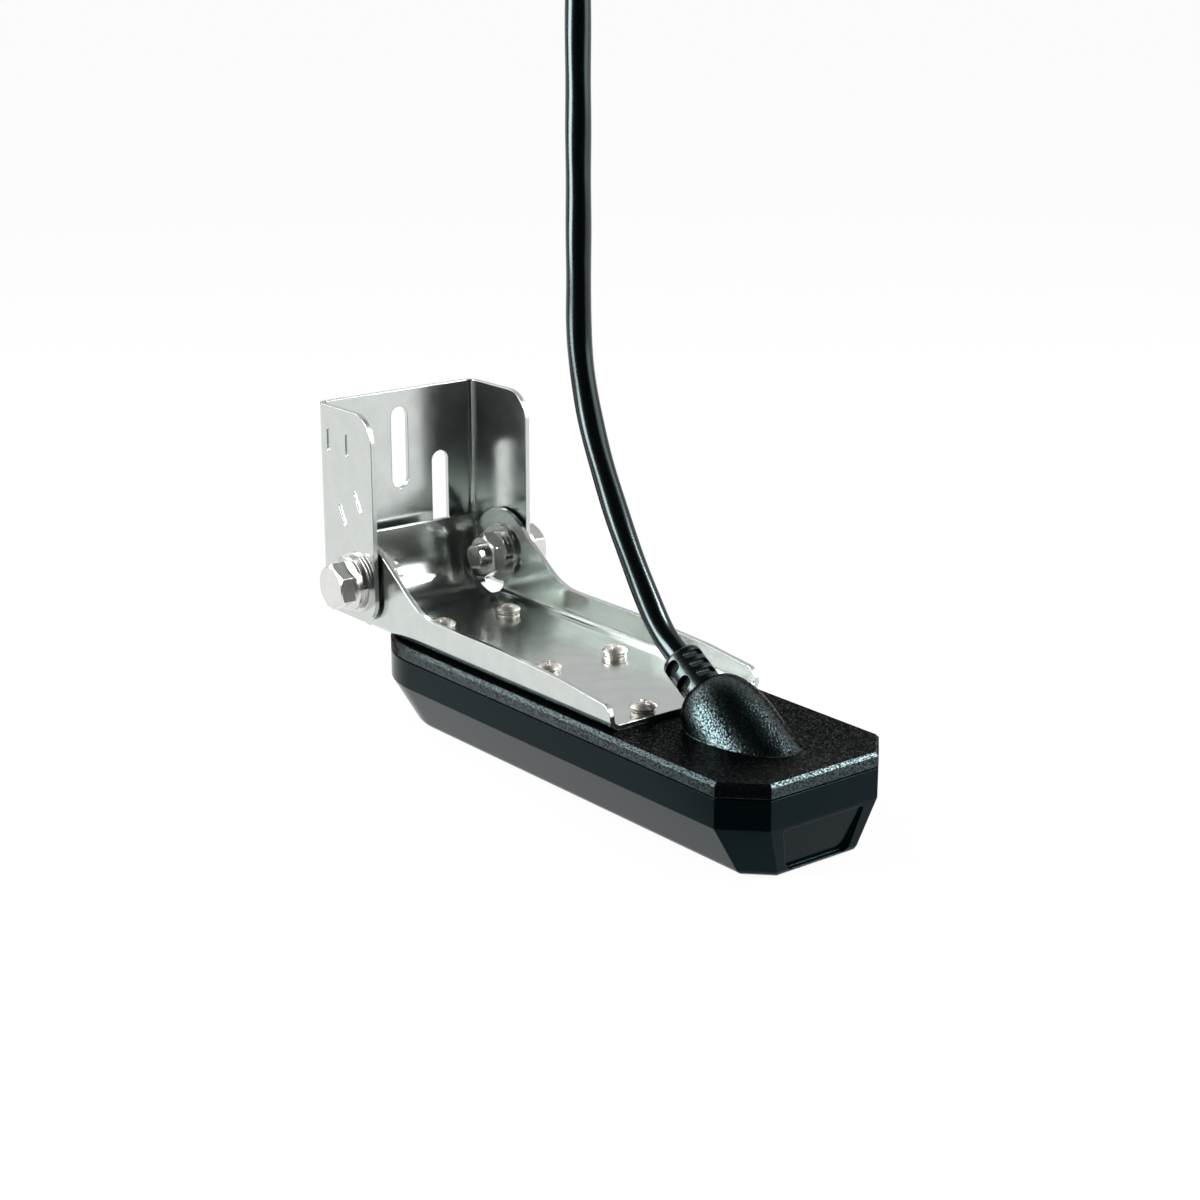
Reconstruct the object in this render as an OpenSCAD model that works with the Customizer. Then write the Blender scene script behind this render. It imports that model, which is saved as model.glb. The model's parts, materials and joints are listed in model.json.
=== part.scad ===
// Transom-mount sonar transducer on a two-piece pivoting bracket, with its cable.
// Millimetres, +Z up, +X towards the end with the cable hood, resting on the flat foot.

/* [Body] */
// Length of the body, front face to round nose
body_len = 183.5; // [175:0.5:195]
// Width of the body
body_w = 60; // [58:0.5:64]
// Height of the body without the hood
body_h = 28.3; // [27:0.1:31]
// Height of the cover's side, bevel included
cover_h = 4.2; // [3.6:0.1:5]
// Height of the upright band below the cover
band_h = 8.7; // [7:0.1:10]
// Bevel round the cover's top edge
cover_bevel = 1; // [0.6:0.1:1.4]
// Leg of the chamfered front corners
corner_leg = 10.5; // [8:0.1:13]
// How far the sides draw in below the band
side_inset = 8.8; // [7:0.1:10]
// How far the front draws in below the band
front_inset = 2.7; // [2:0.1:4]
// How far the front corners draw in below the band
corner_inset = 5.8; // [5:0.1:7]
// Rounding of the foot's edge
foot_round = 1.8; // [1:0.1:2.4]
// Wall of the housing
wall = 2.6; // [2.2:0.1:3]
// Height of the seam between housing and cover
seam = 0.5; // [0.4:0.05:0.7]

/* [Cable hood] */
// Distance from the front face to the hood's upper end
hood_back = 51; // [48:0.5:54]
// Height of the hood's axis above the cover at its upper end
hood_rise = 9.6; // [9:0.1:11]
// Slope of the hood's axis
hood_angle = 33; // [30:0.5:36]
// Radius of the hood
hood_r = 12.8; // [11.5:0.1:13.5]
// Rounding of the hood's upper end
hood_round = 6; // [4:0.5:6]
// Length of the strain relief
relief_len = 10.5; // [10:0.5:13]
// Radius of the strain relief
relief_r = 6; // [5.8:0.1:6.4]
// Diameter of the cable
cable_d = 7.4; // [6.6:0.1:8]

/* [Transducer bracket] */
// Thickness of both bracket sheets
plate_t = 1.5; // [1.2:0.1:2]
// Inner radius of the sheet bends
bend_r = 2; // [1.5:0.1:2.5]
// Outer width of the transducer bracket
low_w = 55; // [52:0.5:56]
// Distance from the body's front face to the bracket's front edge
low_front = 57; // [56:0.5:59]
// Height of the flanges above the cover
flange_h = 10.4; // [9:0.1:12]
// Height of the flanges where they start to droop
flange_droop_h = 9.2; // [8.6:0.1:10.2]
// Height of the flanges at their front end
flange_front_h = 7.4; // [6.6:0.1:8.4]
// Radius of the flanges' front corners
flange_corner_r = 4; // [3:0.5:6]
// Slope of the flanges up to the ears
ramp_angle = 35; // [30:1:38]
// Fillet at the foot of that slope
ramp_r = 25; // [15:1:28]
// Radius of the pivot ears
ear_r = 14.5; // [13.5:0.1:14.8]
// Height of the rear wall above the pivot
rear_wall_h = 10.6; // [8:0.1:11]
// Radius of the corner reliefs between rear wall and ears
corner_relief_r = 5; // [4.6:0.1:5.2]

/* [Transom bracket] */
// Distance from the body's front face to the pivot
pivot_back = 181; // [178:0.5:184]
// Height of the pivot above the cover
pivot_h = 15; // [14.8:0.1:16]
// Distance from the pivot to the back plate's outer face
back_reach = 20.6; // [20.4:0.1:24]
// Distance from the pivot to the side plates' front edge
front_reach = 10.4; // [10:0.1:12.5]
// Height of the bracket above the pivot
top_reach = 54; // [50:0.5:60]
// How far the bracket reaches below the pivot
low_reach = 12.2; // [11:0.1:13]
// Radius of the side plates' top corners
plate_corner_r = 9; // [6:0.5:10]
// Radius of the side plates' lower front corners
plate_foot_r = 8; // [6:0.5:10]
// Width of the transom slots
slot_w = 6.4; // [5:0.1:8]
// Length of the transom slots
slot_len = 27; // [22:0.5:30]
// Distance of the outer slots from the middle
slot_y = 15.5; // [13:0.5:17]
// Height of the middle slot's centre above the pivot
slot_high = 35.2; // [33:0.1:37]
// Height of the outer slots' centres above the pivot
slot_low = 18.5; // [17:0.5:21]

/* [Fasteners] */
// Distance from the front face to the first screw row
screw_front = 61; // [60.5:0.5:63]
// Distance from the first screw row to the second
screw_pitch = 44; // [40:0.5:48]
// Distance from the nose's end to the last screw row
screw_rear = 24.5; // [22:0.5:30]
// Distance of the screws from the middle
screw_y = 12.5; // [11:0.5:14]
// Diameter of the bracket screws
screw_d = 4; // [3.5:0.1:4.5]
// Diameter of the screw heads
screw_head_d = 7.8; // [7:0.1:8.5]
// Height of the screw heads
screw_head_h = 2.5; // [2:0.1:3]
// Diameter of the pivot bolts
bolt_d = 8; // [7:0.1:8.5]
// Width across flats of bolt heads and nuts
hex_af = 13; // [12.5:0.1:14.5]
// Height of the bolt heads with their flanges
bolt_head_h = 7; // [6:0.1:8]
// Diameter of the bolt heads' flanges
bolt_flange_d = 17; // [16.5:0.1:18]
// Height of the nuts
nut_h = 5; // [4:0.1:6]
// Diameter of the pivot washers
washer_d = 19; // [18:0.5:20.5]
// Thickness of the pivot washers
washer_t = 1.2; // [1:0.1:1.8]
// Thickness of the pivot lock washers
lock_t = 1.5; // [1.2:0.1:2.2]
// Thickness of the spacer washers between the brackets
spacer_t = 0.8; // [0.6:0.1:1.5]

/* [Inside] */
// Gap between the elements, the disc and the board
element_gap = 2; // [1:0.5:6]
// Width of the side elements
side_element_w = 9; // [7:0.5:9.5]
// Width of the down element
down_element_w = 12; // [8:0.5:13]
// Thickness of the long elements
element_t = 2.4; // [1.6:0.1:2.6]
// Diameter of the sonar disc
disc_d = 27; // [20:0.5:28]
// Thickness of the sonar disc
disc_t = 6; // [4:0.5:7]
// Thickness of the backing pads
backing_t = 3; // [2:0.1:3.4]

/* [Hidden] */
$fn = 64;

// Clearances
slip = 0.2;        // between parts that slide or turn on each other
snug = 0.05;       // between parts that are pressed or glued together
slab = 0.01;       // thickness of the slices that shape the tapered housing
past = 1;          // how far a cut runs past the faces that it opens

// Places along the length: the part is centred between the front face and the back plate
front_x = (pivot_back + back_reach) / 2;
nose_x = front_x - body_len + body_w / 2;
pivot_x = front_x - pivot_back;
pivot_z = body_h + pivot_h;
low_front_x = front_x - low_front;
back_x = pivot_x - back_reach;
hood_end = [front_x - hood_back, 0, body_h + hood_rise];
screw_x = [
    front_x - screw_front,
    front_x - screw_front - screw_pitch,
    front_x - body_len + screw_rear
];

// Heights of the housing
split_z = body_h - cover_h;
taper_h = split_z - band_h;
rim_z = split_z - seam / 2;
cover_z = split_z + seam / 2;
plate_z = body_h + plate_t;
side_slope = atan(side_inset / taper_h);

// Stack of the pivot, measured outwards from the middle
thread_past = 3;
ear_in = low_w / 2 - plate_t;
ear_out = low_w / 2;
spacer_in = ear_out + slip;
side_in = spacer_in + spacer_t;
side_out = side_in + plate_t;
flat_in = side_out;
lock_in = flat_in + washer_t;
head_in = lock_in + lock_t;
nut_washer_out = ear_in - slip;
nut_lock_out = nut_washer_out - washer_t;
nut_out = nut_lock_out - lock_t;
bolt_end = nut_out - nut_h - thread_past;
bolt_r = bolt_d / 2;
lock_d = hex_af + 1.5;
split_w = 0.8;
bolt_flange_t = 1.2;
bolt_flange_rise = 0.9;
hex_turn = 30;
hex_chamfer = 0.9;
hex_chamfer_d = hex_af * 0.94;

// Stack under the heads of the bracket screws
screw_flat_d = screw_head_d + 1;
screw_flat_t = 0.8;
screw_lock_d = screw_head_d - 0.4;
screw_lock_t = 1;
head_up = screw_flat_t + screw_lock_t;
recess_w = 0.8;
recess_len = 4.7;
recess_depth = 1.2;

// Fittings of the cover
boss_r = 4.6;
insert_r = 3;
insert_len = 7;
insert_drop = 0.4;
insert_z = body_h - insert_drop - insert_len;
boss_floor = 1.6;
rim_depth = 3;
rim_t = 1.6;
mark_r = 0.5;
mark_depth = 0.4;
mark_in = 10;
mark_y = 18;

// Front panel, sunk into the front slope and deeper towards its foot
panel_depth = 0.5;
panel_tilt = 4;
panel_margin = 1.1;
panel_top_w = 29;
panel_foot_w = 24;
panel_foot_r = 3;
panel_top_r = 1;

// Inner pieces
board_len = 26;
board_w = 36;
board_t = 1.6;
board_z = 13;
board_in = 30;
board_x = front_x - board_in;
post_r = 2.4;
coil_r = 4.5;
coil_h = 6;
sensor_r = 2.5;
sensor_h = 7;
sensor_in = 11;
sensor_x = front_x - sensor_in;
disc_ahead = 2;
disc_x = nose_x + disc_ahead;
element_front = board_x - board_len / 2 - element_gap;
element_rear = disc_x + disc_d / 2 + element_gap;
element_len = element_front - element_rear;
element_x = (element_front + element_rear) / 2;

// Cable route as offsets from the strain relief's end, along X and Z
cable_route = [
    [0, 0], [-5.7, 3.7], [-10.2, 8.1], [-15.2, 14.6], [-19.7, 21.1], [-24.7, 29.1], [-29.7, 37.6],
    [-34.7, 47.1], [-39.2, 57.1], [-42.7, 67.1], [-45.2, 78.1], [-46.2, 89.1], [-46.2, 103.1],
    [-46.2, 119.1], [-46.2, 135.1], [-46.2, 151.1], [-46.2, 168.1], [-46.2, 185.1]
];
relief_end = hood_end + relief_len * [-cos(hood_angle), 0, sin(hood_angle)];
cable_top = relief_end + [cable_route[len(cable_route) - 1].x, 0, cable_route[len(cable_route) - 1].y];
boot_h = 16;
boot_r = 7;
plug_r = 8;
plug_h = 22;
ring_r = 10;
ring_h = 13;
ring_up = 7;
ring_grips = 24;
grip_r = 0.6;
boot_lip = 0.8;
contact_r = 0.9;
contact_h = 8;
contact_drop = 0.4;
contact_circle = 4.6;
contact_count = 8;

// Plan of the body, drawn in from its sides, front and corners
module plan(side_in = 0, front_in = 0, corner_in = 0) {
    half = body_w / 2 - side_in;
    face = front_x - front_in;
    cut = front_x + body_w / 2 - corner_leg - corner_in * sqrt(2);
    translate([nose_x, 0]) circle(half, $fn = 96);
    polygon([
        [nose_x, -half], [cut - half, -half], [face, face - cut],
        [face, cut - face], [cut - half, half], [nose_x, half]
    ]);
}

// Slice of the tapered part of the housing at a height, drawn in by a margin
module taper_slice(z, margin) {
    share = 1 - z / taper_h;
    translate([0, 0, z])
        linear_extrude(slab)
            plan(side_inset * share + margin, front_inset * share + margin, corner_inset * share + margin);
}

// Outline of the front panel, from its foot up, drawn flat
module panel_outline() {
    tall = taper_h - 2 * panel_margin;
    reach = panel_foot_w / 2 - panel_foot_r;
    hull() {
        for (s = [-1, 1]) {
            translate([s * reach, panel_foot_r]) circle(panel_foot_r, $fn = 32);
            translate([s * (panel_top_w / 2 - panel_top_r), tall - panel_top_r])
                circle(panel_top_r, $fn = 32);
        }
    }
}

// Puts its children on the inner face of a sloping side, local +Z pointing inwards
module on_side(s) {
    middle = (wall + taper_h) / 2;
    half = body_w / 2 - wall - side_inset * (1 - middle / taper_h);
    mirror([0, s < 0 ? 1 : 0, 0])
        translate([element_x, half, middle])
            rotate([90 - side_slope, 0, 0])
                children();
}

// Block centred along X and Y, standing on local Z
module pad(size) {
    translate([-size.x / 2, -size.y / 2, 0]) cube(size);
}

// Flat ring standing on local Z
module washer(d, bore, t) {
    difference() {
        cylinder(d = d, h = t);
        translate([0, 0, -past]) cylinder(d = bore, h = t + 2 * past);
    }
}

// Split spring washer
module split_washer(d, bore, t) {
    difference() {
        washer(d, bore, t);
        translate([0, -split_w / 2, -past]) cube([d, split_w, t + 2 * past]);
    }
}

// Round-ended slot, drawn flat and upright
module slot_shape(w, l) {
    square([w, l - w], center = true);
    for (s = [-1, 1]) translate([0, s * (l - w) / 2]) circle(w / 2);
}

// Section of a bent sheet: a web along X with a leg up at each side
module bent_section(half, leg, t, r) {
    reach = half - t - r;
    translate([-reach, 0]) square([2 * reach, t]);
    for (s = [0, 1]) mirror([s, 0]) {
        translate([half - t, t + r]) square([t, leg - t - r]);
        translate([reach, t + r]) intersection() {
            difference() {
                circle(r + t);
                circle(r);
            }
            translate([0, -r - t]) square([r + t, r + t]);
        }
    }
}

// Puts its children at each screw
module at_screws() {
    for (x = screw_x, s = [-1, 1]) translate([x, s * screw_y, plate_z]) children();
}

// Puts its children at both ends of the pivot, local Z pointing outwards from the middle
module at_pivot() {
    for (s = [-1, 1]) translate([pivot_x, 0, pivot_z]) rotate([-90 * s, 0, 0]) children();
}

// Puts its children at the hood's upper end, local Z along the cable
module at_hood() {
    translate(hood_end) rotate([0, hood_angle - 90, 0]) children();
}

module lower_housing() {
    color([0.10, 0.12, 0.13]) {
        difference() {
            union() {
                translate([0, 0, taper_h]) linear_extrude(rim_z - taper_h) plan();
                hull() {
                    for (a = [0:30:90]) taper_slice(foot_round * (1 - sin(a)), foot_round * (1 - cos(a)));
                    taper_slice(taper_h, 0);
                }
            }
            hull() {
                taper_slice(wall, wall);
                taper_slice(taper_h, wall);
            }
            translate([0, 0, taper_h]) linear_extrude(band_h) plan(wall, wall, wall);
            translate([front_x, 0, taper_h])
                rotate([0, atan(front_inset / taper_h) + panel_tilt, 0])
                    translate([-panel_depth, 0, panel_margin - taper_h])
                        rotate([90, 0, 90]) linear_extrude(wall) panel_outline();
        }
        for (x = [-1, 1], y = [-1, 1])
            translate([board_x + x * (board_len / 2 - post_r), y * (board_w / 2 - post_r), wall - slab])
                cylinder(r = post_r, h = board_z - wall + slab);
    }
}

module hood_form() {
    core = hood_r - hood_round;
    length = (hood_rise + hood_r) / sin(hood_angle) + hood_r;
    rotate_extrude($fn = 96) {
        translate([0, -length]) square([hood_r, length - hood_round]);
        translate([0, -hood_round]) square([core, hood_round]);
        translate([core, -hood_round]) intersection() {
            circle(hood_round);
            square(hood_round);
        }
    }
}

module top_cover() {
    color([0.07, 0.08, 0.09]) difference() {
        union() {
            translate([0, 0, cover_z]) linear_extrude(body_h - cover_bevel - cover_z) plan();
            hull() {
                translate([0, 0, body_h - cover_bevel - slab]) linear_extrude(slab) plan();
                translate([0, 0, body_h - slab])
                    linear_extrude(slab) plan(cover_bevel, cover_bevel, cover_bevel);
            }
            intersection() {
                at_hood() hood_form();
                translate([front_x - body_len, -body_w / 2, cover_z + past])
                    cube([body_len, body_w, body_h + hood_rise + hood_r]);
            }
            translate([0, 0, rim_z - rim_depth]) linear_extrude(rim_depth + seam + past) difference() {
                plan(wall + slip, wall + slip, wall + slip);
                plan(wall + slip + rim_t, wall + slip + rim_t, wall + slip + rim_t);
            }
            for (x = screw_x, s = [-1, 1])
                translate([x, s * screw_y, insert_z - boss_floor])
                    cylinder(r = boss_r, h = cover_z + past - insert_z + boss_floor);
        }
        for (x = screw_x, s = [-1, 1])
            translate([x, s * screw_y, insert_z]) cylinder(r = insert_r + snug, h = insert_len + past);
        for (s = [-1, 1])
            translate([front_x - mark_in, s * mark_y, body_h - mark_depth]) cylinder(r = mark_r, h = past);
    }
}

module cover_gasket() {
    lip = 0.8;
    color([0.03, 0.03, 0.03])
        translate([0, 0, rim_z]) linear_extrude(seam) difference() {
            plan(lip, lip, lip);
            plan(wall, wall, wall);
        }
}

module side_element(s) {
    color([0.75, 0.70, 0.58])
        on_side(s) translate([0, 0, snug]) pad([element_len, side_element_w, element_t]);
}

module side_backing(s) {
    color([0.35, 0.30, 0.26])
        on_side(s) translate([0, 0, element_t + 2 * snug]) pad([element_len, side_element_w, backing_t]);
}

module side_element_left() side_element(1);

module side_element_right() side_element(-1);

module side_backing_left() side_backing(1);

module side_backing_right() side_backing(-1);

module down_element() {
    color([0.75, 0.70, 0.58])
        translate([element_x, 0, wall]) pad([element_len, down_element_w, element_t]);
}

module down_backing() {
    color([0.35, 0.30, 0.26])
        translate([element_x, 0, wall + element_t]) pad([element_len, down_element_w, backing_t]);
}

module sonar_disc() {
    color([0.78, 0.73, 0.62])
        translate([disc_x, 0, wall]) cylinder(d = disc_d, h = disc_t);
}

module disc_backing() {
    color([0.35, 0.30, 0.26])
        translate([disc_x, 0, wall + disc_t]) cylinder(d = disc_d, h = backing_t);
}

module terminal_board() {
    color([0.10, 0.35, 0.18])
        translate([board_x, 0, board_z]) pad([board_len, board_w, board_t]);
}

module tuning_coils() {
    color([0.55, 0.30, 0.12])
        for (s = [-1, 1])
            translate([board_x, s * board_w / 4, board_z + board_t]) washer(2 * coil_r, coil_r, coil_h);
}

module temperature_sensor() {
    color([0.60, 0.60, 0.62])
        translate([sensor_x, 0, wall]) cylinder(r = sensor_r, h = sensor_h);
}

// Sleeve with windows that let it bend: two large ones at each side, three narrow ones in front and behind
module strain_relief() {
    core_r = relief_r - 1.7;
    window_w = 6.6;
    side_rows = [0.29, 0.74];
    side_window_h = 2.8;
    front_rows = [0.24, 0.5, 0.76];
    front_window_h = 1.7;
    end_round = 1;
    color([0.05, 0.05, 0.06]) at_hood() difference() {
        rotate_extrude() {
            square([relief_r, relief_len - end_round]);
            square([relief_r - end_round, relief_len]);
            translate([relief_r - end_round, relief_len - end_round]) circle(end_round);
        }
        for (a = [90, 270], row = side_rows)
            relief_window(a, core_r, row * relief_len, side_window_h, window_w);
        for (a = [0, 180], row = front_rows)
            relief_window(a, core_r, row * relief_len, front_window_h, window_w);
    }
}

// One window of the strain relief, at an angle round it and a height along it
module relief_window(a, depth_r, up, h, w) {
    rotate([0, 0, a])
        translate([depth_r, 0, up])
            rotate([90, 0, 90])
                linear_extrude(relief_r) rotate(90) slot_shape(h, w);
}

// Direction of the cable at a point of its route
function heading(i) =
    let (last = len(cable_route) - 1)
    let (a = cable_route[max(i - 1, 0)], b = cable_route[min(i + 1, last)])
    i == 0 ? [-cos(hood_angle), sin(hood_angle)] : (b - a) / norm(b - a);

// Ring of points round the cable at a point of its route
function cable_ring(i, sides) =
    let (t = heading(i), at = cable_route[i])
    [for (k = [0:sides - 1])
        let (u = cable_d / 2 * cos(k * 360 / sides), v = cable_d / 2 * sin(k * 360 / sides))
        relief_end + [at.x + u * t.y, v, at.y - u * t.x]];

module cable() {
    sides = 12;
    rings = len(cable_route);
    points = [for (i = [0:rings - 1]) each cable_ring(i, sides)];
    skin = [for (i = [0:rings - 2], k = [0:sides - 1])
        let (n = (k + 1) % sides)
        [i * sides + k, (i + 1) * sides + k, (i + 1) * sides + n, i * sides + n]];
    start = [for (k = [0:sides - 1]) k];
    finish = [for (k = [sides - 1:-1:0]) (rings - 1) * sides + k];
    color([0.05, 0.05, 0.06]) polyhedron(points, concat(skin, [start, finish]), convexity = 6);
}

module connector_boot() {
    color([0.05, 0.05, 0.06])
        translate(cable_top) cylinder(r1 = cable_d / 2 + boot_lip, r2 = boot_r, h = boot_h);
}

// Puts its children at each contact of the connector
module at_contacts() {
    for (k = [0:contact_count - 1])
        rotate(k * 360 / contact_count) translate([contact_circle, 0, 0]) children();
}

module connector_insert() {
    color([0.12, 0.12, 0.13]) translate(cable_top + [0, 0, boot_h]) difference() {
        cylinder(r = plug_r, h = plug_h);
        translate([0, 0, plug_h - contact_h])
            at_contacts() cylinder(r = contact_r + snug, h = contact_h + past);
    }
}

module connector_ring() {
    color([0.08, 0.08, 0.09]) translate(cable_top + [0, 0, boot_h + ring_up]) difference() {
        cylinder(r = ring_r, h = ring_h);
        translate([0, 0, -past]) cylinder(r = plug_r + snug, h = ring_h + 2 * past);
        for (k = [0:ring_grips - 1])
            rotate(k * 360 / ring_grips)
                translate([ring_r, 0, -past]) cylinder(r = grip_r, h = ring_h + 2 * past, $fn = 16);
    }
}

module connector_contacts() {
    color([0.85, 0.70, 0.30]) translate(cable_top + [0, 0, boot_h + plug_h - contact_h])
        at_contacts() washer(2 * contact_r, contact_r, contact_h - contact_drop);
}

// Side view of the transducer bracket's flanges in front of the pivot
module flange_outline() {
    top = body_h + flange_h;
    front_top = body_h + flange_front_h;
    droop_len = 22;
    r = flange_corner_r;
    n = [sin(ramp_angle), cos(ramp_angle)];
    pivot = [pivot_x, pivot_z];
    meet = [pivot_x + (ear_r - (top - pivot_z) * n.y) / n.x, top];
    fillet = [pivot_x + (ear_r + ramp_r - (top + ramp_r - pivot_z) * n.y) / n.x, top + ramp_r];
    droop_x = low_front_x - droop_len;
    break_x = (fillet.x + droop_x) / 2;
    translate(pivot) circle(ear_r);
    polygon([
        [pivot_x - slab, body_h], [low_front_x - r, body_h], [low_front_x - r, front_top],
        [droop_x, body_h + flange_droop_h], [break_x, top], meet, pivot + ear_r * n, pivot
    ]);
    translate([low_front_x - r, body_h]) square([r, flange_front_h - r]);
    translate([low_front_x - r, front_top - r]) circle(r);
    difference() {
        polygon([fillet - ramp_r * n, meet, [fillet.x, top]]);
        translate(fillet) circle(ramp_r);
    }
}

// Rear wall: a curl round the pivot, then straight up
module rear_wall() {
    in_r = pivot_h - plate_t;
    width = 2 * (ear_in - 2 * slip);
    translate([pivot_x, 0, pivot_z]) rotate([90, 0, 0]) linear_extrude(width, center = true) {
        intersection() {
            difference() {
                circle(pivot_h);
                circle(in_r);
            }
            translate([-pivot_h, -pivot_h]) square([pivot_h + slab, pivot_h]);
        }
        translate([-pivot_h, 0]) square([plate_t, rear_wall_h]);
    }
}

// Round cuts at both lower rear corners, where curl, floor and ear would meet
module corner_reliefs() {
    relief_back = 4.1;
    relief_in = 3.5;
    for (s = [-1, 1])
        translate([pivot_x - relief_back, s * (ear_in - relief_in), body_h + corner_relief_r])
            rotate([-90 * s, 0, 0]) cylinder(r = corner_relief_r, h = relief_in + plate_t + past);
}

module transducer_bracket() {
    pip_in = 9;
    pip_r = 1.1;
    color([0.78, 0.79, 0.78]) difference() {
        union() {
            intersection() {
                translate([pivot_x, 0, body_h]) rotate([90, 0, 90])
                    linear_extrude(low_front_x - pivot_x)
                        bent_section(low_w / 2, pivot_h + ear_r, plate_t, bend_r);
                rotate([90, 0, 0]) linear_extrude(low_w, center = true) flange_outline();
            }
            for (s = [-1, 1])
                translate([pivot_x, s * (ear_in + ear_out) / 2, pivot_z])
                    rotate([90, 0, 0]) linear_extrude(plate_t, center = true) intersection() {
                        circle(ear_r);
                        translate([-ear_r, plate_t + bend_r - pivot_h]) square([ear_r + slab, 2 * pivot_h]);
                    }
            rear_wall();
        }
        corner_reliefs();
        at_pivot() translate([0, 0, ear_in - past]) cylinder(r = bolt_r + slip, h = plate_t + 2 * past);
        at_screws()
            translate([0, 0, -plate_t - past]) cylinder(d = screw_d + 2 * slip, h = plate_t + 2 * past);
        for (s = [-1, 1])
            translate([low_front_x - pip_in, s * (ear_in - bend_r - 2 * pip_r), body_h - past])
                cylinder(r = pip_r, h = plate_t + 2 * past);
    }
}

// Side view of the transom bracket
module side_plate_outline() {
    r = plate_corner_r;
    foot_r = plate_foot_r;
    long = back_reach + front_reach;
    translate([back_x, pivot_z]) square([long - r, top_reach]);
    translate([back_x, pivot_z - low_reach + foot_r]) square([long, top_reach + low_reach - foot_r - r]);
    translate([back_x, pivot_z - low_reach]) square([long - foot_r, top_reach]);
    translate([pivot_x + front_reach - r, pivot_z + top_reach - r]) circle(r);
    translate([pivot_x + front_reach - foot_r, pivot_z - low_reach + foot_r]) circle(foot_r);
}

module transom_bracket() {
    mark_w = 1.5;
    mark_len = 7.4;
    marks = [[-13.8, 43, 0], [-3.2, 43, 0], [2.1, 26, 28], [-6.7, 20.4, 28]];
    tall = top_reach + low_reach + 2 * past;
    color([0.80, 0.81, 0.80]) difference() {
        intersection() {
            translate([back_x, 0, pivot_z - low_reach - past]) rotate(-90)
                linear_extrude(tall) bent_section(side_out, back_reach + front_reach, plate_t, bend_r);
            rotate([90, 0, 0]) linear_extrude(2 * side_out, center = true) side_plate_outline();
        }
        for (p = [[0, slot_high], [-slot_y, slot_low], [slot_y, slot_low]])
            translate([back_x - past, p.x, pivot_z + p.y])
                rotate([90, 0, 90]) linear_extrude(plate_t + 2 * past) slot_shape(slot_w, slot_len);
        for (m = marks)
            translate([pivot_x + m.x, past - side_in, pivot_z + m.y])
                rotate([90, 0, 0])
                    linear_extrude(plate_t + 2 * past) rotate(m.z) slot_shape(mark_w, mark_len);
        at_pivot() translate([0, 0, side_in - past]) cylinder(r = bolt_r + snug, h = plate_t + 2 * past);
    }
}

// Pan head with a cross recess, its shank down into the insert
module bracket_screws() {
    crown_r = (pow(screw_head_d / 2, 2) + pow(screw_head_h / 2, 2)) / screw_head_h;
    shank = head_up + plate_t + insert_len;
    color([0.82, 0.80, 0.76]) at_screws() translate([0, 0, head_up]) difference() {
        union() {
            cylinder(d = screw_head_d, h = screw_head_h / 2);
            translate([0, 0, screw_head_h / 2]) intersection() {
                translate([0, 0, screw_head_h / 2 - crown_r]) sphere(crown_r);
                cylinder(d = screw_head_d, h = screw_head_h);
            }
            translate([0, 0, -shank]) cylinder(d = screw_d, h = shank);
        }
        for (a = [0, 90])
            rotate(a)
                translate([0, 0, screw_head_h - recess_depth]) pad([recess_len, recess_w, screw_head_h]);
    }
}

module screw_flat_washers() {
    color([0.80, 0.80, 0.78]) at_screws() washer(screw_flat_d, screw_d + slip, screw_flat_t);
}

module screw_lock_washers() {
    color([0.70, 0.70, 0.68]) at_screws()
        translate([0, 0, screw_flat_t]) split_washer(screw_lock_d, screw_d + slip, screw_lock_t);
}

module threaded_inserts() {
    color([0.80, 0.65, 0.30])
        for (x = screw_x, s = [-1, 1])
            translate([x, s * screw_y, insert_z]) washer(2 * insert_r, screw_d + 2 * snug, insert_len);
}

// Hexagon head or nut with chamfered corners
module hex_form(h) {
    corner_d = hex_af / cos(30);
    intersection() {
        rotate(hex_turn) cylinder(d = corner_d, h = h, $fn = 6);
        union() {
            cylinder(d = corner_d, h = h - hex_chamfer);
            translate([0, 0, h - hex_chamfer]) cylinder(d1 = corner_d, d2 = hex_chamfer_d, h = hex_chamfer);
        }
    }
}

module pivot_bolts() {
    color([0.82, 0.82, 0.80]) at_pivot() {
        translate([0, 0, head_in]) {
            hex_form(bolt_head_h);
            cylinder(d = bolt_flange_d, h = bolt_flange_t);
            translate([0, 0, bolt_flange_t])
                cylinder(d1 = bolt_flange_d, d2 = hex_af, h = bolt_flange_rise);
        }
        translate([0, 0, bolt_end]) cylinder(r = bolt_r, h = head_in - bolt_end);
    }
}

module pivot_lock_washers() {
    color([0.66, 0.66, 0.64]) at_pivot()
        for (up = [lock_in, nut_out]) translate([0, 0, up]) split_washer(lock_d, bolt_d + slip, lock_t);
}

module pivot_flat_washers() {
    color([0.78, 0.78, 0.76]) at_pivot()
        translate([0, 0, flat_in]) washer(washer_d, bolt_d + slip, washer_t);
}

module spacer_washers() {
    color([0.25, 0.25, 0.26]) at_pivot()
        translate([0, 0, spacer_in]) washer(washer_d, bolt_d + slip, spacer_t);
}

module nut_washers() {
    color([0.74, 0.74, 0.72]) at_pivot()
        translate([0, 0, nut_lock_out]) washer(washer_d, bolt_d + slip, washer_t);
}

module pivot_nuts() {
    color([0.80, 0.80, 0.78]) at_pivot() translate([0, 0, nut_out]) mirror([0, 0, 1]) difference() {
        hex_form(nut_h);
        translate([0, 0, -past]) cylinder(r = bolt_r + snug, h = nut_h + 2 * past);
    }
}

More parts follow.
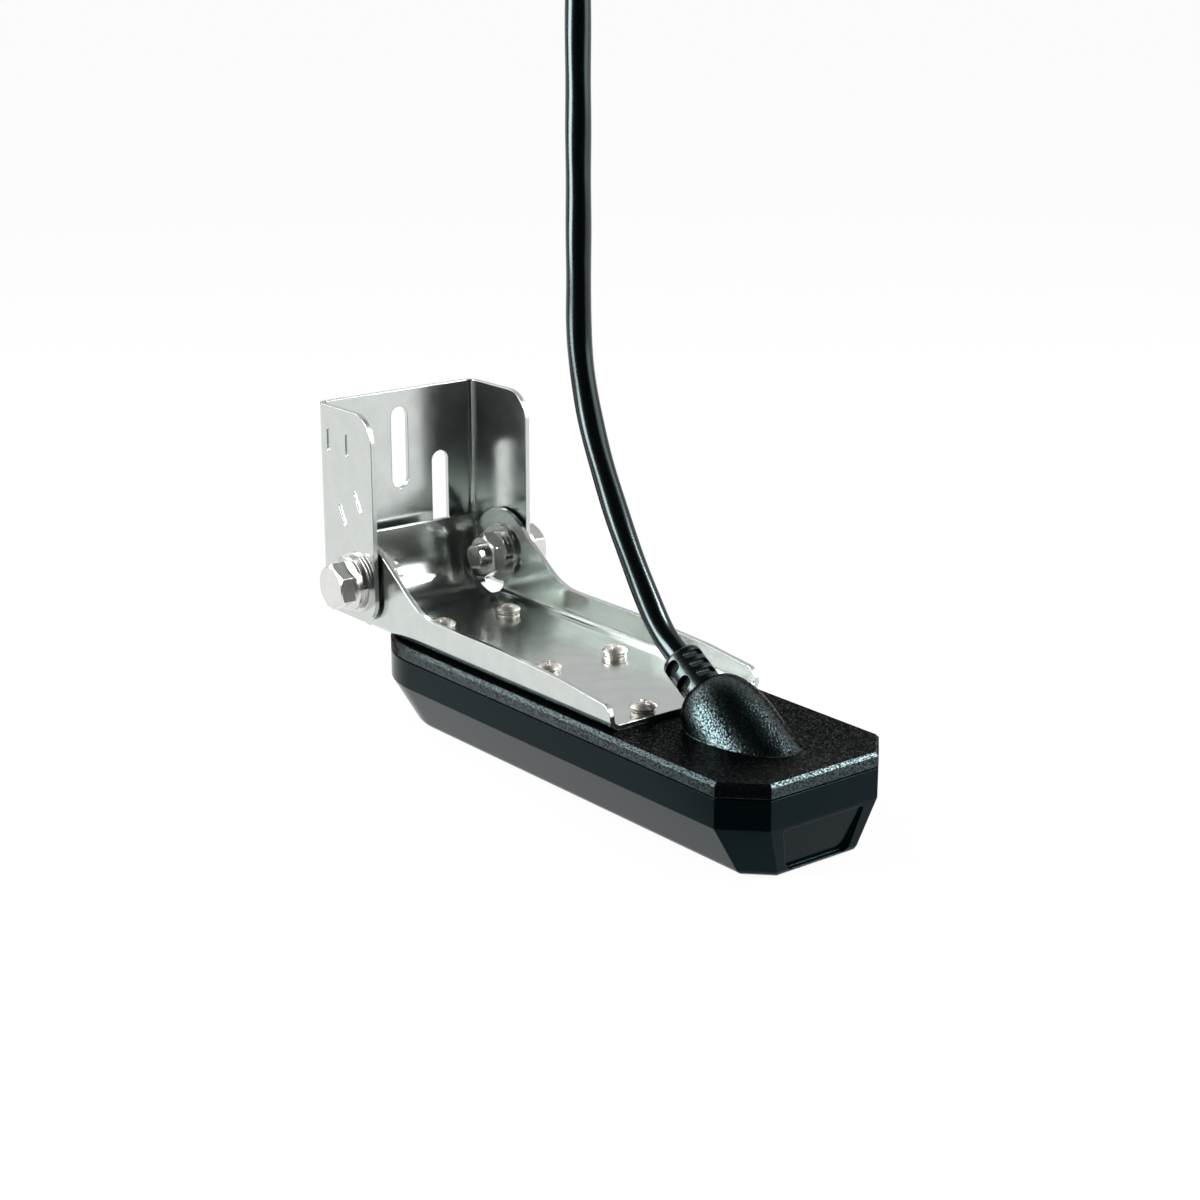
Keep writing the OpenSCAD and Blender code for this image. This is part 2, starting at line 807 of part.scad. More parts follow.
lower_housing();
top_cover();
cover_gasket();
side_element_left();
side_element_right();
down_element();
sonar_disc();
side_backing_left();
side_backing_right();
down_backing();
disc_backing();
terminal_board();
tuning_coils();
temperature_sensor();
strain_relief();
cable();
connector_boot();
connector_ring();
connector_insert();
connector_contacts();
transducer_bracket();
bracket_screws();
screw_lock_washers();
screw_flat_washers();
threaded_inserts();
transom_bracket();
pivot_bolts();
pivot_lock_washers();
pivot_flat_washers();
spacer_washers();
nut_washers();
pivot_nuts();
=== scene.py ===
# %% [markdown]
# # A sonar transducer on its transom bracket
#
# The object is a long black moulded body with a cable hood, carried by a folded stainless-steel bracket
# that pivots on two bolts. This lesson gives those solids their finishes, lays the cable, and adds the
# small forms that a solid model leaves out.

# %% Load the frame
import json
import math
import bmesh
import bpy
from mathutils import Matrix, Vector


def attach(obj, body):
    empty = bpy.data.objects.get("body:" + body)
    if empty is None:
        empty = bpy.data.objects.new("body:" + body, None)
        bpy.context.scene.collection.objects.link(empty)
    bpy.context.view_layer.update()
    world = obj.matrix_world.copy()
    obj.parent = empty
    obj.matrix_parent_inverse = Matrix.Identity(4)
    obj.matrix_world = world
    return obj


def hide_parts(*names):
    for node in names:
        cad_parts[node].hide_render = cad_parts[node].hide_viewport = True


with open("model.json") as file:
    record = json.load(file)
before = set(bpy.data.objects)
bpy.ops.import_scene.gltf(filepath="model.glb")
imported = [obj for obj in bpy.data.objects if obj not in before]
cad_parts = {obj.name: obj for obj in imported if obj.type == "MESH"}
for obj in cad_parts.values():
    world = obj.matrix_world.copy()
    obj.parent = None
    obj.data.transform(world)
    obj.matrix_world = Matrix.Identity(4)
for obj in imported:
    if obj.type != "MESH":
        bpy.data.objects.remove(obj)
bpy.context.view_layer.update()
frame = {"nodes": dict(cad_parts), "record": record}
nodes = frame["nodes"]

# %% [markdown]
# ## The camera
#
# A camera can be dragged about until the picture looks right, or worked out from the edges of the object.
# Here it was worked out, so it is written as a place, two angles and a lens. It stands in front of the hood
# end, a little above the object, and looks along its length.

# %% The camera
camera_place = Vector((0.5137, -0.4037, 0.2502))
camera_azimuth = math.radians(51.59)
camera_elevation = math.radians(16.97)
to_camera = Vector((
    math.sin(camera_azimuth) * math.cos(camera_elevation),
    -math.cos(camera_azimuth) * math.cos(camera_elevation),
    math.sin(camera_elevation),
))

camera_data = bpy.data.cameras.new("camera")
camera_data.sensor_width = 36
camera_data.lens = 69.75
camera_data.clip_start = 0.01
camera = bpy.data.objects.new("camera", camera_data)
camera.location = camera_place
camera.rotation_euler = (-to_camera).to_track_quat("-Z", "Y").to_euler()
bpy.context.scene.collection.objects.link(camera)
bpy.context.scene.camera = camera
bpy.context.scene.view_settings.view_transform = "Standard"
looks_down = round(math.degrees(camera_elevation), 1)
print("camera", round(camera_data.lens, 2), "mm, looking down", looks_down, "degrees")

# %% [markdown]
# ## Helpers for node trees
#
# Every finish below is a small tree of nodes. Two helpers keep such a tree readable: one adds a node and
# fills its inputs, with a value or with a link, and one makes a node group with named inputs and outputs.


# %% Helpers for node trees
def fill(tree, socket, value):
    if isinstance(value, bpy.types.NodeSocket):
        tree.links.new(value, socket)
    else:
        socket.default_value = value


def add(tree, kind, inputs=None, **settings):
    made = tree.nodes.new("ShaderNode" + kind)
    for name, value in settings.items():
        setattr(made, name, value)
    for name, value in (inputs or {}).items():
        fill(tree, made.inputs[name], value)
    return made


def maths(tree, operation, first, second):
    return add(tree, "Math", {0: first, 1: second}, operation=operation).outputs[0]


def dot(tree, first, second):
    return add(tree, "VectorMath", {0: first, 1: second}, operation="DOT_PRODUCT").outputs["Value"]


def mix_colours(tree, share, first, second):
    made = add(tree, "Mix", {0: share, 6: first, 7: second}, data_type="RGBA")
    return made.outputs[2]


def spread(tree, value, low, high, to_low=0.0, to_high=1.0):
    made = add(tree, "MapRange", {0: value, 1: low, 2: high, 3: to_low, 4: to_high})
    made.interpolation_type = "SMOOTHSTEP"
    return made.outputs[0]


def new_group(name, inputs, outputs):
    group = bpy.data.node_groups.new(name, "ShaderNodeTree")
    for label, value in inputs.items():
        socket = group.interface.new_socket(label, in_out="INPUT", socket_type="NodeSocketFloat")
        socket.default_value = value
    for label, kind in outputs.items():
        group.interface.new_socket(label, in_out="OUTPUT", socket_type="NodeSocket" + kind)
    given = group.nodes.new("NodeGroupInput").outputs
    return group, given, group.nodes.new("NodeGroupOutput").inputs


def place(tree, group, **inputs):
    made = tree.nodes.new("ShaderNodeGroup")
    made.node_tree = group
    for name, value in inputs.items():
        fill(tree, made.inputs[name], value)
    return made.outputs


def new_material(name):
    material = bpy.data.materials.new(name)
    material.use_nodes = True
    tree = material.node_tree
    tree.nodes.clear()
    return material, tree


def surface(tree, inputs):
    shader = add(tree, "BsdfPrincipled", inputs)
    output = tree.nodes.new("ShaderNodeOutputMaterial")
    tree.links.new(shader.outputs[0], output.inputs["Surface"])


def mix_shaders(tree, share, first, second, output):
    mixed = add(tree, "MixShader", {0: share})
    tree.links.new(first.outputs[0], mixed.inputs[1])
    tree.links.new(second.outputs[0], mixed.inputs[2])
    tree.links.new(mixed.outputs[0], tree.nodes.new(output).inputs["Surface"])


def grey(value):
    return (value, value, value, 1)


print("helpers ready")

# %% [markdown]
# ## Floor, room and light
#
# Steel and black plastic show the room more than themselves, so the room matters. The floor and the
# background are white to the camera. In front of the object and overhead the room is dark, as a studio is,
# and mirrors see a painted shade on the floor in front of the object: together they give the steel its black
# accents and keep the faces that look that way black. A soft box stands low at the left and draws the sheen
# on the hood and the cable. Two more hang higher up, each where one bevel of the cover mirrors it, and a
# wide low one puts the bright spot into the curl of the bracket.

# %% Floor
floor_reach = 40.0
floor_mesh = bpy.data.meshes.new("floor")
floor_edit = bmesh.new()
bmesh.ops.create_grid(floor_edit, x_segments=1, y_segments=1, size=floor_reach)
floor_edit.to_mesh(floor_mesh)
floor_edit.free()
floor = bpy.data.objects.new("floor", floor_mesh)
bpy.context.scene.collection.objects.link(floor)

# Painted shade: as mirrors see it, the floor is painted darker on the side of the object that faces the dark
# part of the room, starting a little way out from the object; the camera sees that floor white.
floor_white = 0.93                      # share of plain white in what the camera sees of the floor
floor_paper = 0.9                       # colour of the paper that takes the shadow
painted_shade_way = Vector((0.5, -0.866, 0))     # along the floor, to the dark side of the room
painted_shade_from = 0.066                       # distance that way at which the mirrored floor starts to darken
painted_shade_full = 0.10                        # and at which it is dark
painted_shade_share = 0.98
floor_material, tree = new_material("floor")
path = tree.nodes.new("ShaderNodeLightPath").outputs
mirrored = maths(tree, "MAXIMUM", path["Is Glossy Ray"], path["Is Transmission Ray"])
seen = maths(tree, "MAXIMUM", maths(tree, "MULTIPLY", path["Is Camera Ray"], floor_white), mirrored)
# painted shade on the floor, seen only in reflections
front = spread(tree, dot(tree, add(tree, "NewGeometry").outputs["Position"], painted_shade_way), painted_shade_from, painted_shade_full)
painted_floor_shade = maths(tree, "MULTIPLY", maths(tree, "MULTIPLY", front, mirrored), painted_shade_share)
paper = add(tree, "BsdfDiffuse", {"Color": grey(floor_paper)})
white = add(tree, "Emission", {"Color": grey(1.0), "Strength": maths(tree, "SUBTRACT", 1.0, painted_floor_shade)})
mix_shaders(tree, seen, paper, white, "ShaderNodeOutputMaterial")
floor_mesh.materials.append(floor_material)
print("floor", [round(side, 1) for side in floor.dimensions])

# %% Room
room_light = 0.55                             # how much the room lights what isn't shiny
room_white = 0.65                             # how bright its walls look in a mirror
room_dark = 0.02                              # and its dark side
dark_wall = Vector((0.75, -0.594, 0.292))     # from the object to the middle of the dark side
wall_edge = (0.36, 0.52)                      # where the dark side begins and is full, as a cosine
roof_edge = (0.76, 0.94)                      # the same for the dark overhead, as a height
world = bpy.data.worlds.new("room")
world.use_nodes = True
bpy.context.scene.world = world
tree = world.node_tree
tree.nodes.clear()
direction = add(tree, "TexCoord").outputs["Generated"]
height = add(tree, "SeparateXYZ", {0: direction}).outputs["Z"]
in_front = spread(tree, dot(tree, direction, dark_wall), *wall_edge)
dark_side = maths(tree, "MAXIMUM", in_front, spread(tree, height, *roof_edge))
room = mix_colours(tree, dark_side, grey(room_white), grey(room_dark))
path = tree.nodes.new("ShaderNodeLightPath").outputs
mirrored = maths(tree, "MAXIMUM", path["Is Glossy Ray"], path["Is Transmission Ray"])
lit = mix_colours(tree, mirrored, grey(room_light), room)
studio = add(tree, "Background", {"Color": lit, "Strength": 1.0})
backdrop = add(tree, "Background", {"Color": grey(1.0), "Strength": 1.0})
mix_shaders(tree, path["Is Camera Ray"], studio, backdrop, "ShaderNodeOutputWorld")
print("room light", room_light)


# %% Lights
def soft_light(name, spot, target, width, height, power):
    data = bpy.data.lights.new(name, "AREA")
    data.shape = "RECTANGLE"
    data.size = width
    data.size_y = height
    data.energy = power
    light = bpy.data.objects.new(name, data)
    light.location = spot
    light.rotation_euler = (Vector(target) - Vector(spot)).to_track_quat("-Z", "Y").to_euler()
    light.visible_camera = False
    bpy.context.scene.collection.objects.link(light)


middle = (0, 0, 0.04)
on_cable = (0, 0, 0.18)
soft_light("left_light", (-0.22, -0.54, 0.23), on_cable, width=0.30, height=0.38, power=7.5)
soft_light("right_light", (0.46, 0.65, 0.70), middle, width=0.26, height=0.2, power=7.5)
soft_light("low_light", (0.61, 0.53, 0.30), middle, width=0.6, height=0.42, power=1.8)
soft_light("back_light", (-0.80, -0.38, 0.60), middle, width=0.5, height=0.5, power=2.7)

# %% [markdown]
# ## Effects that several finishes share
#
# Three effects come back again and again. Moulded parts carry the fine grain of a spark-eroded tool. Sheet
# steel has a rolled surface, with a faint mottle and a fine tooth. And no real edge is perfectly sharp: a
# small rounding catches the light. Each of them is one node group, placed in a finish with its own values.
# Sizes in the groups are in millimetres.

# %% Grain of a moulding
per_metre = 1000.0           # millimetres in a metre, to turn a size into a texture's scale
speckle_edge = (0.52, 0.72)
grain_group, given, out = new_group(
    "moulded_grain",
    {"Size": 0.4, "Clumps": 0.5},
    {"Height": "Float", "Speckle": "Float"},
)
spot = add(grain_group, "TexCoord").outputs["Object"]
fineness = maths(grain_group, "DIVIDE", per_metre, given["Size"])
fine = add(grain_group, "TexNoise", {"Vector": spot, "Scale": fineness, "Detail": 2.0, "Roughness": 0.6})
cells = add(grain_group, "TexVoronoi", {"Vector": spot, "Scale": fineness}, feature="SMOOTH_F1")
bubbles = maths(grain_group, "MULTIPLY", cells.outputs["Distance"], given["Clumps"])
fill(grain_group, out["Height"], maths(grain_group, "SUBTRACT", fine.outputs[0], bubbles))
fill(grain_group, out["Speckle"], spread(grain_group, fine.outputs[0], *speckle_edge))
print("group", grain_group.name)

# %% Skin of rolled sheet
mottle_edge = (0.3, 0.7)
sheet_group, given, out = new_group(
    "rolled_sheet",
    {"Mottle": 6.0, "Tooth": 0.35, "Stretch": 3.0},
    {"Tone": "Float", "Height": "Float"},
)
spot = add(sheet_group, "TexCoord").outputs["Object"]
along = add(sheet_group, "CombineXYZ", {"X": 1.0, "Y": 1.0, "Z": given["Stretch"]}).outputs[0]
rolled = add(sheet_group, "VectorMath", {0: spot, 1: along}, operation="MULTIPLY").outputs["Vector"]
cloud_scale = maths(sheet_group, "DIVIDE", per_metre, given["Mottle"])
tooth_scale = maths(sheet_group, "DIVIDE", per_metre, given["Tooth"])
cloud = add(sheet_group, "TexNoise", {"Vector": spot, "Scale": cloud_scale, "Detail": 4.0})
tooth = add(sheet_group, "TexNoise", {
    "Vector": rolled, "Scale": tooth_scale, "Detail": 3.0, "Roughness": 0.7,
})
fill(sheet_group, out["Tone"], spread(sheet_group, cloud.outputs[0], *mottle_edge))
fill(sheet_group, out["Height"], tooth.outputs[0])
print("group", sheet_group.name)

# %% Softened edges
edge_group, given, out = new_group("softened_edge", {"Radius": 0.0003}, {"Normal": "Vector"})
rounded = add(edge_group, "Bevel", {"Radius": given["Radius"]}, samples=6).outputs[0]
fill(edge_group, out["Normal"], rounded)
print("group", edge_group.name)

# %% [markdown]
# ## Finishes of the mouldings
#
# The cover has a grained skin, the housing below it is smoother and more satin, and the strain relief and
# the cable are a soft black plastic. They are all nearly black: what tells them apart is how they scatter
# the light. So the grain drives the roughness and the bump, and on the cover the gloss as well: its peaks
# shine, its pits don't, and at a low angle it hides most of its gloss.


# %% Finishes of the mouldings
cool_gleam = (0.75, 0.98, 1.0, 1)
lid_gleam = (0.64, 0.94, 1.0, 1)
sea_gleam = (0.30, 0.84, 1.0, 1)
grain_span = (0.0, 0.6)          # heights of the grain from its smoothest to its roughest
rough_swing = 0.06               # how far the grain moves the roughness each way
deep_span = (0.12, 0.42)         # heights of a deep grain from its pits to its peaks
pit_shine = 0.2                  # share of the gloss in its pits
peak_shine = 2.0                 # and on its peaks
low_view = (0.42, 0.66)          # slant at which a deep grain starts to hide its gloss, and has hidden it
hidden_shine = (0.002, 0.16)     # gloss that is left then


def moulding(name, colour, light_colour, roughness, size=0.3, clumps=0.3, depth=0.000006, radius=0.0003,
             shine=0.5, tint=cool_gleam, deep=False):
    """A moulded plastic or rubber; a deep grain hides its own gloss where it is seen at a low angle."""
    material, tree = new_material(name)
    grain = place(tree, grain_group, Size=size, Clumps=clumps)
    edge = place(tree, edge_group, Radius=radius)
    colours = mix_colours(tree, grain["Speckle"], colour, light_colour)
    bump = add(tree, "Bump", {
        "Height": grain["Height"], "Strength": 1.0, "Distance": depth, "Normal": edge["Normal"],
    })
    rough = spread(tree, grain["Height"], *grain_span, roughness + rough_swing, roughness - rough_swing)
    if deep:
        slant = add(tree, "LayerWeight", {"Blend": 0.5, "Normal": edge["Normal"]}).outputs["Facing"]
        open_grain = spread(tree, grain["Height"], *deep_span, pit_shine * shine, peak_shine * shine)
        hidden = spread(tree, grain["Speckle"], 0.0, 1.0, *hidden_shine)
        shine = add(tree, "Mix", {0: spread(tree, slant, *low_view), 2: open_grain, 3: hidden}).outputs[0]
    surface(tree, {
        "Base Color": colours, "Roughness": rough, "Specular IOR Level": shine, "Specular Tint": tint,
        "Normal": bump.outputs[0],
    })
    return material


soft_black = ((0.0004, 0.0007, 0.0008, 1), (0.0008, 0.0014, 0.0016, 1))
cover_plastic = moulding(
    "cover_plastic", (0.0005, 0.0007, 0.0008, 1), (0.001, 0.002, 0.0022, 1), roughness=0.2,
    size=0.52, clumps=0.5, depth=0.00013, tint=lid_gleam, deep=True)
housing_plastic = moulding(
    "housing_plastic", (0.0005, 0.0015, 0.002, 1), (0.001, 0.003, 0.0035, 1), roughness=0.18,
    depth=0.000003, radius=0.0004, shine=0.12, tint=sea_gleam)
relief_rubber = moulding("relief_rubber", *soft_black, roughness=0.29)
cable_skin = moulding("cable_jacket", *soft_black, roughness=0.22)
gasket_rubber = moulding(
    "gasket_rubber", grey(0.003), grey(0.006), roughness=0.7,
    size=0.5, clumps=0.5, depth=0.00002, radius=0.0001)
spacer_plastic = moulding(
    "spacer_plastic", (0.010, 0.011, 0.011, 1), (0.016, 0.017, 0.017, 1), roughness=0.45,
    size=0.4, depth=0.00001, radius=0.0002)
connector_plastic = moulding(
    "connector_plastic", (0.008, 0.009, 0.010, 1), (0.014, 0.016, 0.017, 1), roughness=0.4,
    size=0.4, clumps=0.4, depth=0.00001)
print("mouldings:", cover_plastic.name, housing_plastic.name, relief_rubber.name)

# %% [markdown]
# ## Finishes of the metals
#
# The brackets are folded from rolled stainless sheet: bright, with a soft mirror that a fine tooth breaks
# up. The fasteners are turned or pressed: the bolts shine, and the small screws are a little duller. A metal
# has no colour of its own under its reflection, so the finish lives in the roughness and the bump.

# %% Finishes of the metals
tone_swing = 0.08     # share by which the mottle moves the roughness each way


def metal(name, colour, dull_colour, roughness, mottle=3.0, tooth=0.3, stretch=1.0, depth=0.000004,
          radius=0.0002):
    material, tree = new_material(name)
    sheet = place(tree, sheet_group, Mottle=mottle, Tooth=tooth, Stretch=stretch)
    edge = place(tree, edge_group, Radius=radius)
    colours = mix_colours(tree, sheet["Tone"], dull_colour, colour)
    bump = add(tree, "Bump", {
        "Height": sheet["Height"], "Strength": 1.0, "Distance": depth, "Normal": edge["Normal"],
    })
    dull = roughness * (1 + tone_swing)
    bright = roughness * (1 - tone_swing)
    rough = spread(tree, sheet["Tone"], 0.0, 1.0, dull, bright)
    surface(tree, {"Base Color": colours, "Metallic": 1.0, "Roughness": rough, "Normal": bump.outputs[0]})
    return material


bracket_steel = metal(
    "bracket_steel", (0.645, 0.68, 0.66, 1), (0.605, 0.64, 0.62, 1), roughness=0.19,
    mottle=7.0, tooth=0.5, radius=0.00035)
bolt_steel = metal(
    "bolt_steel", (0.76, 0.76, 0.74, 1), (0.71, 0.71, 0.69, 1), roughness=0.22,
    depth=0.000006, radius=0.0003)
screw_steel = metal(
    "screw_steel", (0.84, 0.81, 0.76, 1), (0.76, 0.73, 0.68, 1), roughness=0.36, mottle=2.0, radius=0.00005)
contact_brass = metal(
    "contact_brass", (0.72, 0.52, 0.22, 1), (0.60, 0.42, 0.17, 1), roughness=0.22, mottle=2.0, radius=0.0001)
sensor_steel = metal("sensor_steel", (0.60, 0.60, 0.61, 1), (0.52, 0.52, 0.53, 1), roughness=0.3)
coil_copper = metal(
    "coil_copper", (0.50, 0.22, 0.09, 1), (0.36, 0.14, 0.05, 1), roughness=0.3,
    mottle=1.5, stretch=6.0, depth=0.00002)
print("metals:", bracket_steel.name, bolt_steel.name, screw_steel.name)

# %% [markdown]
# ## Finishes of the inner pieces
#
# Nothing inside the sealed body shows, but the pieces are there for whoever opens it. Fired ceramic,
# cork-like backing and the board's laminate use the same grain with other values.

# %% Finishes of the inner pieces
piezo_ceramic = moulding(
    "piezo_ceramic", (0.56, 0.50, 0.38, 1), (0.66, 0.60, 0.48, 1), roughness=0.45,
    size=0.5, depth=0.00001, radius=0.0002)
backing_rubber = moulding(
    "backing_rubber", (0.11, 0.085, 0.065, 1), (0.19, 0.15, 0.12, 1), roughness=0.8,
    size=1.2, clumps=0.6, depth=0.0001)
board_laminate = moulding(
    "board_laminate", (0.02, 0.13, 0.05, 1), (0.03, 0.17, 0.07, 1), roughness=0.35,
    size=0.8, depth=0.00001, radius=0.0001)
print("inner finishes:", piezo_ceramic.name, backing_rubber.name, board_laminate.name)

# %% [markdown]
# ## Giving each solid its finish
#
# The record says which finish each solid has, so the list of solids isn't written out again here.

# %% Giving each solid its finish
finishes = {
    "housing_plastic": housing_plastic, "cover_plastic": cover_plastic, "gasket_rubber": gasket_rubber,
    "piezo_ceramic": piezo_ceramic, "backing_rubber": backing_rubber, "board_laminate": board_laminate,
    "coil_copper": coil_copper, "sensor_steel": sensor_steel, "relief_rubber": relief_rubber,
    "cable_jacket": cable_skin, "connector_plastic": connector_plastic, "contact_brass": contact_brass,
    "bracket_steel": bracket_steel, "screw_steel": screw_steel, "bolt_steel": bolt_steel,
    "spacer_plastic": spacer_plastic,
}
for part in frame["record"]["subparts"]:
    solid = nodes[part["node"]]
    solid.data.materials.clear()
    solid.data.materials.append(finishes[part["material_slot"]])

# %% [markdown]
# ## The cable
#
# The cable leaves the strain relief along its axis, bends up and is held from above. Its jacket is drawn
# tightly over twisted cores, so it isn't quite round: two broad lobes wind slowly round it, and they make
# the light on it waver. A curve with a round profile couldn't show that, so the tube is a mesh of rings
# along the route.

# %% The cable's route
mm = 0.001
cable_d = 0.0074
cable_exit = Vector((0.040994, 0, 0.043619))
route_steps = 8       # points on the curve from one point of the route to the next
cable_route = [
    (0, 0), (-5.7, 3.7), (-10.2, 8.1), (-15.2, 14.6), (-19.7, 21.1), (-24.7, 29.1), (-29.7, 37.6),
    (-34.7, 47.1), (-39.2, 57.1), (-42.7, 67.1), (-45.2, 78.1), (-46.2, 89.1), (-46.2, 103.1),
    (-46.2, 119.1), (-46.2, 135.1), (-46.2, 151.1), (-46.2, 168.1), (-46.2, 185.1),
]


def smooth_path(points, steps):
    """Points on a smooth curve through the given ones."""
    ends = [2 * points[0] - points[1]] + points + [2 * points[-1] - points[-2]]
    made = []
    for i in range(len(points) - 1):
        a, b, c, d = ends[i:i + 4]
        for k in range(steps):
            t = k / steps
            made.append(0.5 * (
                2 * b + (c - a) * t + (2 * a - 5 * b + 4 * c - d) * t * t + (3 * b - a - 3 * c + d) * t ** 3
            ))
    return made + [points[-1]]


cable_points = [cable_exit + Vector((x * mm, 0, z * mm)) for x, z in cable_route]
cable_path = smooth_path(cable_points, route_steps)


# %% The cable's tube
def skin(edit, rings):
    """Closes rings of points into a skin with a face at each end."""
    for low, high in zip(rings, rings[1:]):
        for k in range(len(low)):
            n = (k + 1) % len(low)
            edit.faces.new((low[k], low[n], high[n], high[k]))
    edit.faces.new(list(reversed(rings[0])))
    edit.faces.new(rings[-1])
    bmesh.ops.recalc_face_normals(edit, faces=edit.faces)


def add_tube(edit, path, radius_at, sides):
    """Adds a closed tube of rings along a path that lies in the XZ plane."""
    rings = []
    run = 0.0
    for i, point in enumerate(path):
        ahead = (path[min(i + 1, len(path) - 1)] - path[max(i - 1, 0)]).normalized()
        across = Vector((0, 1, 0))
        beside = ahead.cross(across)
        run += (point - path[i - 1]).length if i else 0.0
        ring = []
        for k in range(sides):
            angle = 2 * math.pi * k / sides
            out_way = math.cos(angle) * beside + math.sin(angle) * across
            ring.append(edit.verts.new(point + radius_at(angle, run) * out_way))
        rings.append(ring)
    skin(edit, rings)


sharp_edge = math.radians(18)


def new_piece(name, edit, finish):
    """Turns an edited mesh into a piece on the transducer, smooth but for its sharp edges."""
    mesh = bpy.data.meshes.new(name)
    edit.to_mesh(mesh)
    edit.free()
    old_normals = mesh.attributes.get("custom_normal")
    if old_normals:
        mesh.attributes.remove(old_normals)
    mesh.polygons.foreach_set("use_smooth", [True] * len(mesh.polygons))
    mesh.set_sharp_from_angle(angle=sharp_edge)
    mesh.materials.append(finish)
    made = bpy.data.objects.new(name, mesh)
    bpy.context.scene.collection.objects.link(made)
    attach(made, "transducer")
    return made


cable_sides = 48
lobe_depth = 0.00006
lobe_turn = 0.055      # length of cable in which the cores turn once


def cable_radius(angle, run):
    return cable_d / 2 - lobe_depth * (1 - math.cos(2 * (angle - 2 * math.pi * run / lobe_turn)))


cable_edit = bmesh.new()
add_tube(cable_edit, cable_path, cable_radius, cable_sides)
cable_tube = new_piece("cable_jacket", cable_edit, cable_skin)
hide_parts("cable")
print("cable tube:", len(cable_tube.data.polygons), "faces")

# %% [markdown]
# ## The hood's nose
#
# The solid hood is a round bar with a small rounding at its upper end. The moulded one draws in towards the
# cable over more than half of its length, and the strain relief reaches further down to meet it. So the
# cover is taken without its hood, closed where the hood stood, and gets a hood turned from a half ellipse.
# The strain relief is stretched along its axis until it stands on the new nose.

# %% The hood's nose
hood_end = Vector((0.0498, 0, 0.0379))
hood_slope = math.radians(33)
hood_way = Vector((math.cos(hood_slope), 0, -math.sin(hood_slope)))     # from the cable down to the cover
lid_top = 0.0283
lid_margin = 0.0001    # points higher than this over the lid belong to the hood
hood_sunk = 0.0003     # how far the new hood reaches into the lid
nose_in = 0.0025       # how far the new end lies below the solid's end
nose_length = 0.015
nose_r = 0.0063
hood_r = 0.0126
hood_sides = 96
hood_steps = [
    0, 0.05, 0.15, 0.3, 0.5, 0.8, 1.2, 1.7, 2.3, 3, 4, 5, 6, 7.5, 9, 10.5, 12, 13.5, 15,
    22, 30, 38, 46, 54, 62,
]
weld = 0.000002        # points as close as this are one point


def hood_radius(angle, run):
    rest = max(0.0, 1 - run / nose_length)
    return nose_r + (hood_r - nose_r) * math.sqrt(1 - rest * rest)


def plain_copy(node):
    """An editable copy of a solid's mesh, in the object's own frame."""
    edit = bmesh.new()
    edit.from_mesh(nodes[node].data)
    edit.transform(nodes[node].matrix_world)
    bmesh.ops.remove_doubles(edit, verts=edit.verts, dist=weld)
    return edit


cover_edit = plain_copy("top_cover")
above = [v for v in cover_edit.verts if v.co.z > lid_top + lid_margin]
bmesh.ops.delete(cover_edit, geom=above, context="VERTS")
open_edges = [e for e in cover_edit.edges if e.is_boundary]
bmesh.ops.triangle_fill(cover_edit, use_beauty=True, edges=open_edges)
print("cover:", len(above), "points off,", len(open_edges), "edges closed")

# %% The new hood
hood_edit = bmesh.new()
hood_path = [hood_end + hood_way * (nose_in + step * mm) for step in hood_steps]
add_tube(hood_edit, hood_path, hood_radius, hood_sides)
everything = hood_edit.verts[:] + hood_edit.edges[:] + hood_edit.faces[:]
hood_foot = Vector((0, 0, lid_top - hood_sunk))
bmesh.ops.bisect_plane(hood_edit, geom=everything, plane_co=hood_foot, plane_no=(0, 0, 1), clear_inner=True)
hood_mesh = bpy.data.meshes.new("hood")
hood_edit.to_mesh(hood_mesh)
hood_edit.free()
cover_edit.from_mesh(hood_mesh)
cover_skin = new_piece("cover_skin", cover_edit, cover_plastic)
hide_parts("top_cover")
print("cover with its hood:", len(cover_skin.data.polygons), "faces")

# %% The strain relief
relief_length = (cable_exit - hood_end).length
relief_edit = plain_copy("strain_relief")
for v in relief_edit.verts:
    up = (hood_end - v.co).dot(hood_way) / relief_length
    v.co += hood_way * nose_in * (1 - up)
relief_skin = new_piece("relief_sleeve", relief_edit, relief_rubber)
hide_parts("strain_relief")
print("strain relief", round((relief_length + nose_in) / mm, 2), "mm long")

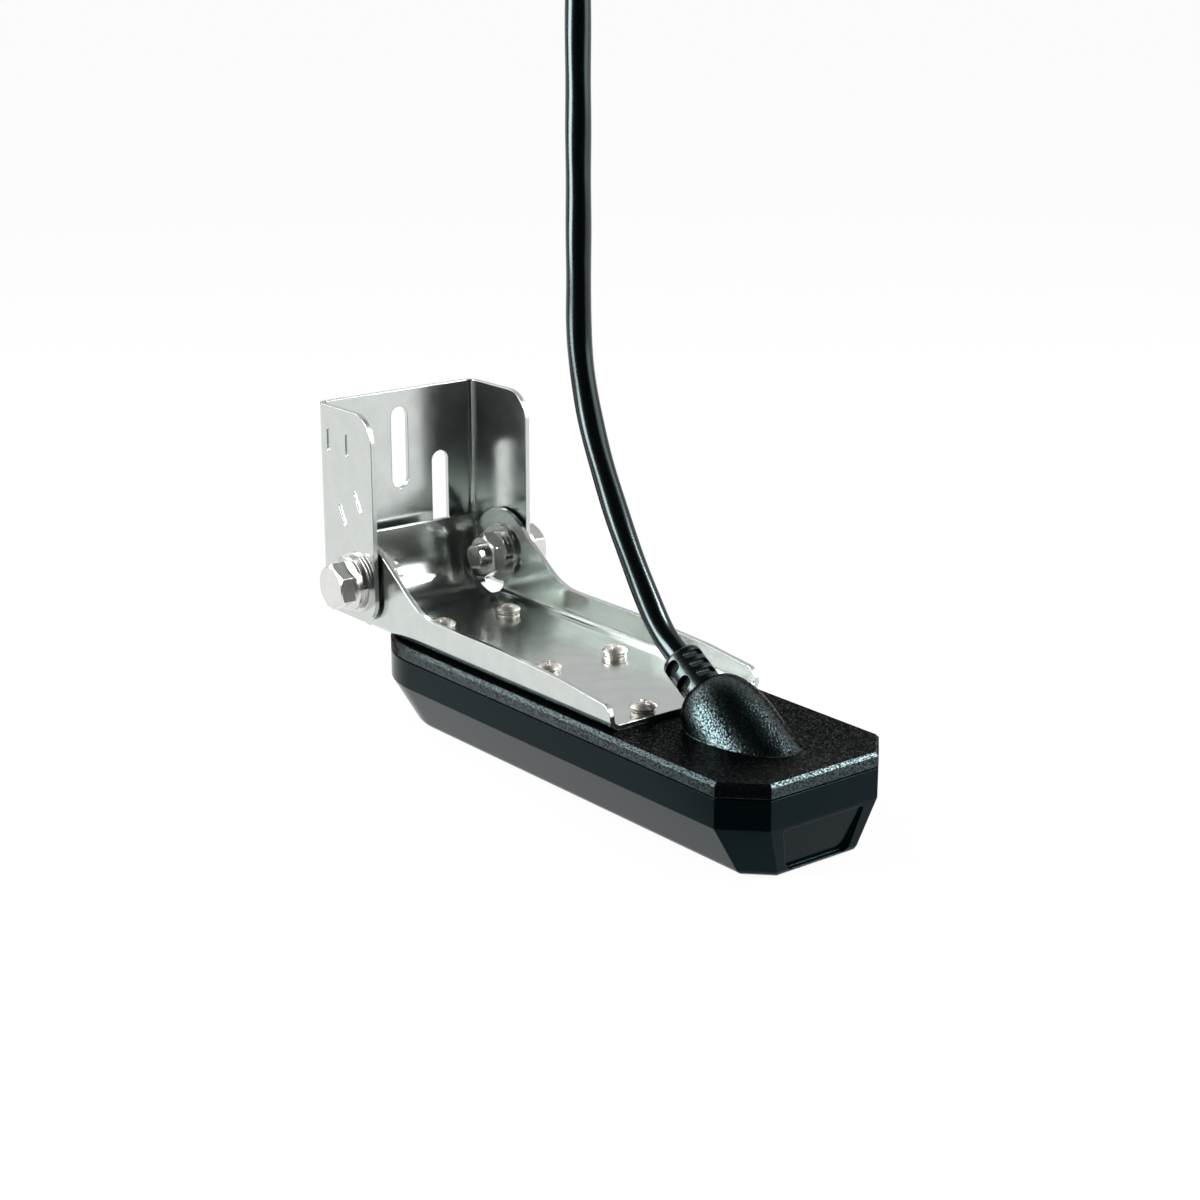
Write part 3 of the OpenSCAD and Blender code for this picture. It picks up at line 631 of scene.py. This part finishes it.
# %% [markdown]
# ## The bracket's screws
#
# Pan-head screws have a low dome over a thin rim, and a cross pressed into the dome. Each is turned from one
# outline, together with the spring washer and the flat washer under its head. The points that lie in the
# cross are lowered. No two screws stop at the same angle, so each gets its own turn.

# %% The screw's outline
head_r = 0.0039
dome_foot = 0.0020
dome_high = 0.0015
dome_r = (head_r ** 2 + dome_high ** 2) / (2 * dome_high)
stack = [
    (0.5, -8.5), (2, -8.5), (2, 0), (3.6, 0), (3.6, 0.5), (2.9, 0.6), (2.9, 0.8), (3.5, 0.9), (3.5, 1.3),
    (2.9, 1.4), (2.9, 1.6), (3.8, 1.65), (3.9, 1.75), (3.9, 2.0),
]
dome_steps = [3.7, 3.4, 3.0, 2.7, 2.5, 2.4] + [2.2 - 0.2 * k for k in range(11)]
outline = [(r * mm, z * mm) for r, z in stack]
for r in dome_steps:
    outline.append((r * mm, dome_foot + math.sqrt(dome_r ** 2 - (r * mm) ** 2) - dome_r + dome_high))
print("screw outline:", len(outline), "points")

# %% The six screws
screw_rows = (0.0398, -0.0042, -0.0582)
screw_side = 0.0125
plate_top = 0.0298
screw_sides = 96
cross_reach = 0.00245
cross_half = 0.00045
cross_depth = 0.0007
first_turn = 0.4
row_turn = 1.1
side_turn = 0.5


def add_screw(edit, spot, turn):
    rings = []
    for reach, height in outline:
        ring = []
        for k in range(screw_sides):
            angle = 2 * math.pi * k / screw_sides
            beside = min(abs(reach * math.cos(angle - turn)), abs(reach * math.sin(angle - turn)))
            in_cross = height > dome_foot and reach < cross_reach and beside < cross_half
            level = height - (cross_depth if in_cross else 0)
            offset = Vector((reach * math.cos(angle), reach * math.sin(angle), level))
            ring.append(edit.verts.new(spot + offset))
        rings.append(ring)
    skin(edit, rings)


screw_edit = bmesh.new()
for i, x in enumerate(screw_rows):
    for side in (-1, 1):
        turn = first_turn + row_turn * i + side_turn * side
        add_screw(screw_edit, Vector((x, side * screw_side, plate_top)), turn)
screw_set = new_piece("screw_set", screw_edit, screw_steel)
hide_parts("bracket_screws", "screw_lock_washers", "screw_flat_washers")
print("screws:", 2 * len(screw_rows), "with", len(screw_set.data.polygons), "faces")
